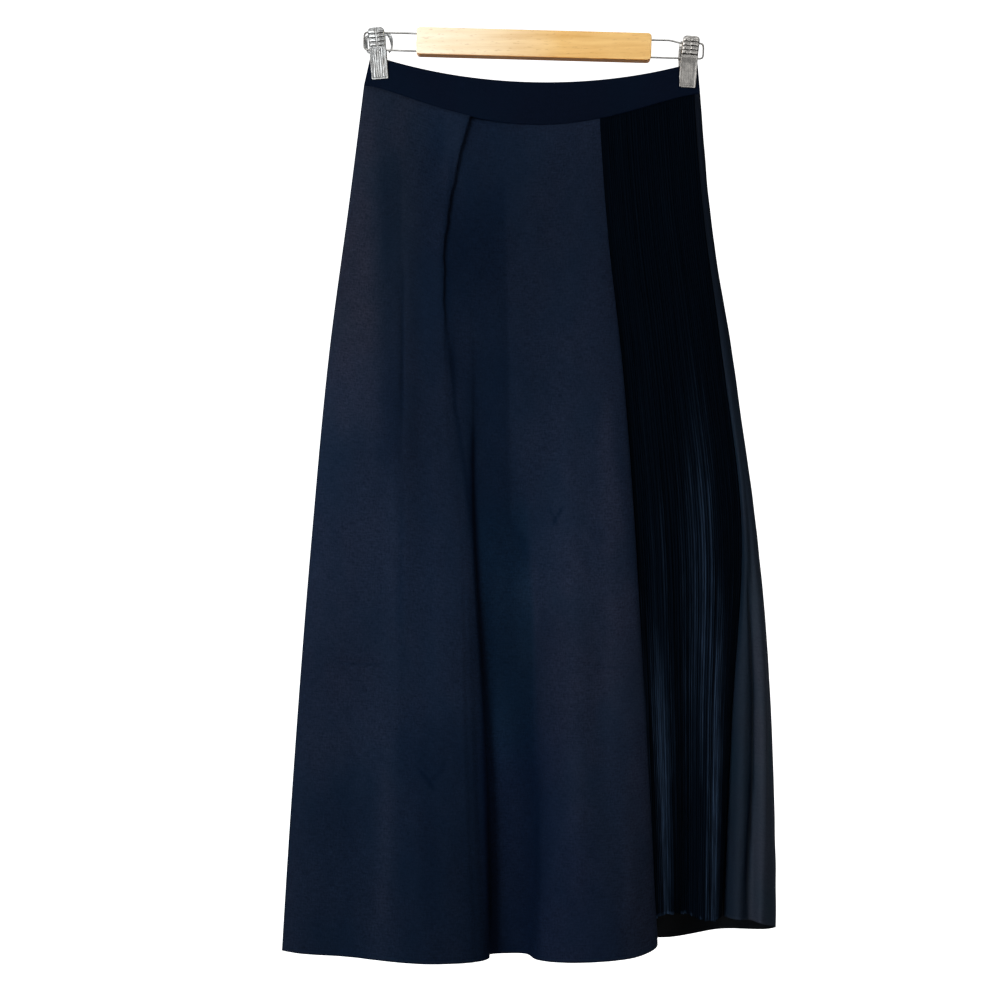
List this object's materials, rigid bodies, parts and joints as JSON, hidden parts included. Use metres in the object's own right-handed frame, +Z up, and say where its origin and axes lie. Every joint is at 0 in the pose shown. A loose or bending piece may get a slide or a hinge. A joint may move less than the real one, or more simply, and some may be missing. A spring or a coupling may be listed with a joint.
{
  "type": "maxi skirt on a wooden clip hanger",
  "caption": "Long dark navy A-line skirt with a shaped waistband, a released knife pleat and a finely pleated satin insert, held by the spring clips of a flat wooden hanger bar.",
  "frame": {"origin": "middle of the hanger bar's top face, where the part is held up", "axes": "+X to the right seen from the front, +Y from the front to the back, +Z up"},
  "size_m": [0.5335, 0.1062, 0.9874],
  "materials": {
    "wool": "matt navy wool-like plain weave, slightly mottled",
    "pleated_satin": "near-black navy satin in fine pressed pleats",
    "crepe": "smooth navy crepe with a soft sheen",
    "waistband": "smooth dark navy band cloth",
    "beech": "clear satin lacquer, pale golden grain",
    "chrome": "bright plated pressed steel, slightly brushed",
    "steel_wire": "drawn steel wire, satin"
  },
  "bodies": {
    "root": {"waistband_front": "waistband", "waistband_back": "waistband", "front_panel": "wool", "pleated_panel": "pleated_satin", "back_panel": "crepe", "hanger_bar": "beech", "wire_left": "steel_wire", "wire_right": "steel_wire", "clip_left_front": "chrome", "clip_left_back": "chrome", "clip_left_spring": "steel_wire", "clip_right_front": "chrome", "clip_right_back": "chrome", "clip_right_spring": "steel_wire"}
  },
  "joints": []
}
